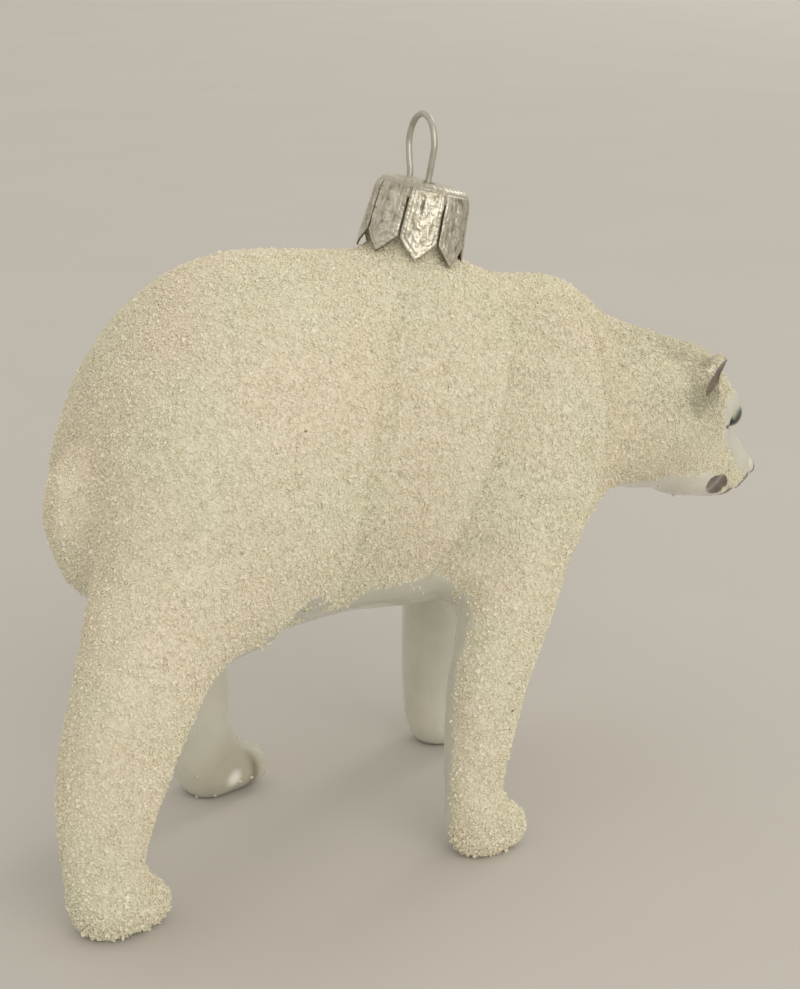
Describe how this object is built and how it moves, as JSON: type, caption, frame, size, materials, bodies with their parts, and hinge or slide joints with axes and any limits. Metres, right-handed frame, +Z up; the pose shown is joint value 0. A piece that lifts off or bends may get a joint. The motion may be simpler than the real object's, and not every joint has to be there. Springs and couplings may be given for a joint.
{
  "type": "glass polar bear ornament",
  "caption": "Hollow glass Christmas ornament in the shape of a standing polar bear, coated with snow-like grit, with a metal crown cap and a wire hanging loop on its back.",
  "frame": {"origin": "on the floor under the middle of the ornament's bounding box", "axes": "+X towards the bear's nose, +Y towards its left side, +Z up"},
  "size_m": [0.1092, 0.041, 0.0881],
  "materials": {
    "grit_coated_glass": "thin glass lacquered inside and out, with fine cream-white grit glued over it: matte and rough",
    "pearl_glass": "thin glass with a pearl-white lacquer, glossy",
    "black_lacquer": "glossy black lacquer painted on the glass",
    "grey_lacquer": "satin brown-grey lacquer painted on the glass",
    "cap_metal": "bright stamped sheet with an embossed pattern",
    "spring_wire": "plain drawn wire, satin"
  },
  "bodies": {
    "root": {"trunk": "grit_coated_glass", "neck": "grit_coated_glass", "head": "grit_coated_glass", "tail": "grit_coated_glass", "leg_hind_right": "grit_coated_glass", "leg_hind_left": "grit_coated_glass", "leg_front_right": "grit_coated_glass", "leg_front_left": "grit_coated_glass", "ear_right": "grit_coated_glass", "ear_left": "grit_coated_glass", "eye_right": "black_lacquer", "eye_left": "black_lacquer", "nose": "grey_lacquer", "glass_neck": "pearl_glass", "cap": "cap_metal", "hanger": "spring_wire"}
  },
  "joints": []
}
